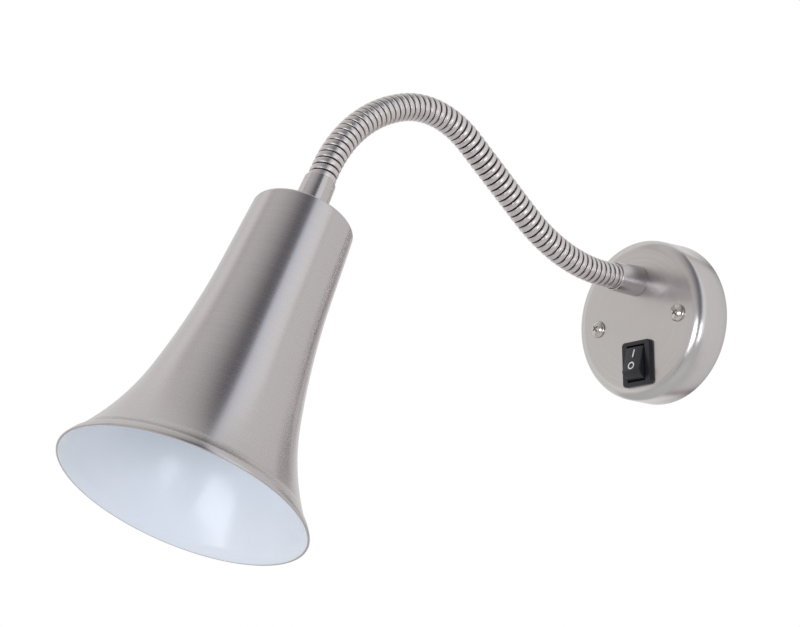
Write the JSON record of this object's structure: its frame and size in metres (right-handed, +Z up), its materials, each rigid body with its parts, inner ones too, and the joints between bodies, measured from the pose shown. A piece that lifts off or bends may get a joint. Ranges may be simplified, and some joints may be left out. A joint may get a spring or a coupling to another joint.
{
  "type": "wall reading lamp",
  "caption": "Bedside wall lamp: round wall plate with a rocker switch, a ribbed flexible neck that stays where it is bent, and a bell shade with a lip.",
  "frame": {"origin": "centre of the wall bracket's two screw holes, on the wall, which is also the plate's axis", "axes": "+Z up, +Y into the wall, -Y out into the room"},
  "size_m": [0.0992, 0.3196, 0.2035],
  "materials": {
    "satin_nickel": "satin nickel plate on steel, finely brushed",
    "zinc_steel": "bright zinc plate",
    "screw_steel": "bright nickel plate",
    "black_plastic": "moulded, slightly glossy",
    "holder_black": "moulded, dull",
    "block_white": "moulded, dull",
    "brass": "bare",
    "sheath_white": "soft, dull",
    "core_brown": "soft, dull",
    "core_blue": "soft, dull",
    "opal_glass": "opal",
    "bulb_metal": "bare"
  },
  "bodies": {
    "base": {"wall_plate": "satin_nickel", "wall_bracket": "zinc_steel", "cover_screws": "screw_steel", "base_ferrule": "satin_nickel", "earth_tag": "zinc_steel", "earth_screw": "brass", "neck_nut": "zinc_steel", "switch_body": "black_plastic", "switch_terminals": "brass", "terminal_block": "block_white", "terminal_screws": "brass", "live_core": "core_brown", "neutral_core": "core_blue", "switch_lead": "core_brown", "neck_cable": "sheath_white", "neck_root": "satin_nickel"},
    "rocker": {"rocker_paddle": "black_plastic"},
    "link_1": {"neck_link_1": "satin_nickel"},
    "link_2": {"neck_link_2": "satin_nickel"},
    "link_3": {"neck_link_3": "satin_nickel"},
    "link_4": {"neck_link_4": "satin_nickel"},
    "link_5": {"neck_link_5": "satin_nickel"},
    "link_6": {"neck_link_6": "satin_nickel"},
    "link_7": {"neck_link_7": "satin_nickel"},
    "link_8": {"neck_link_8": "satin_nickel"},
    "head": {"neck_tip": "satin_nickel", "shade_ferrule": "satin_nickel", "lamp_shade": "satin_nickel", "shade_nut": "zinc_steel", "holder_cap": "holder_black", "holder_body": "holder_black", "holder_sleeve": "brass", "holder_contact": "brass", "bulb_cap": "bulb_metal", "bulb_globe": "opal_glass"}
  },
  "joints": [
    {"name": "neck_swing", "type": "hinge", "parent": "base", "child": "link_1", "pos_m": [0, -0.04778, 0.01826], "axis": [0, 0.148, 0.989], "range_deg": [-15, 15], "deforming": ["neck_cable"]},
    {"name": "neck_lower_bend", "type": "hinge", "parent": "link_1", "child": "link_2", "pos_m": [0, -0.0689, 0.02311], "axis": [1, 0, 0], "range_deg": [-15, 15], "deforming": ["neck_cable"]},
    {"name": "neck_lower_bend_middle", "type": "hinge", "parent": "link_2", "child": "link_3", "pos_m": [0, -0.08807, 0.03323], "axis": [1, 0, 0], "range_deg": [-15, 15], "deforming": ["neck_cable"]},
    {"name": "neck_lower_bend_top", "type": "hinge", "parent": "link_3", "child": "link_4", "pos_m": [0, -0.1051, 0.04668], "axis": [1, 0, 0], "range_deg": [-15, 15], "deforming": ["neck_cable"]},
    {"name": "neck_swing_middle", "type": "hinge", "parent": "link_4", "child": "link_5", "pos_m": [0, -0.12213, 0.06012], "axis": [0, 0.6198, 0.7848], "range_deg": [-15, 15], "deforming": ["neck_cable"]},
    {"name": "neck_upper_bend", "type": "hinge", "parent": "link_5", "child": "link_6", "pos_m": [0, -0.1409, 0.07078], "axis": [1, 0, 0], "range_deg": [-20, 4], "deforming": ["neck_cable"]},
    {"name": "neck_upper_bend_middle", "type": "hinge", "parent": "link_6", "child": "link_7", "pos_m": [0, -0.16245, 0.07079], "axis": [1, 0, 0], "range_deg": [-20, 4], "deforming": ["neck_cable"]},
    {"name": "neck_upper_bend_top", "type": "hinge", "parent": "link_7", "child": "link_8", "pos_m": [0, -0.18226, 0.06201], "axis": [1, 0, 0], "range_deg": [-20, 4], "deforming": ["neck_cable"]},
    {"name": "neck_swing_top", "type": "hinge", "parent": "link_8", "child": "head", "pos_m": [0, -0.19849, 0.04768], "axis": [0, -0.8067, 0.5909], "range_deg": [-15, 15], "deforming": ["neck_cable"]},
    {"name": "rocker_switch", "type": "hinge", "parent": "base", "child": "rocker", "pos_m": [0, -0.0175, -0.021], "axis": [1, 0, 0], "range_deg": [0, 36]}
  ],
  "couplings": [
    {"joint": "neck_lower_bend_middle", "follows": "neck_lower_bend", "ratio": 1},
    {"joint": "neck_lower_bend_top", "follows": "neck_lower_bend", "ratio": 1},
    {"joint": "neck_swing_middle", "follows": "neck_swing", "ratio": 1},
    {"joint": "neck_upper_bend_middle", "follows": "neck_upper_bend", "ratio": 1},
    {"joint": "neck_upper_bend_top", "follows": "neck_upper_bend", "ratio": 1},
    {"joint": "neck_swing_top", "follows": "neck_swing", "ratio": 1}
  ]
}
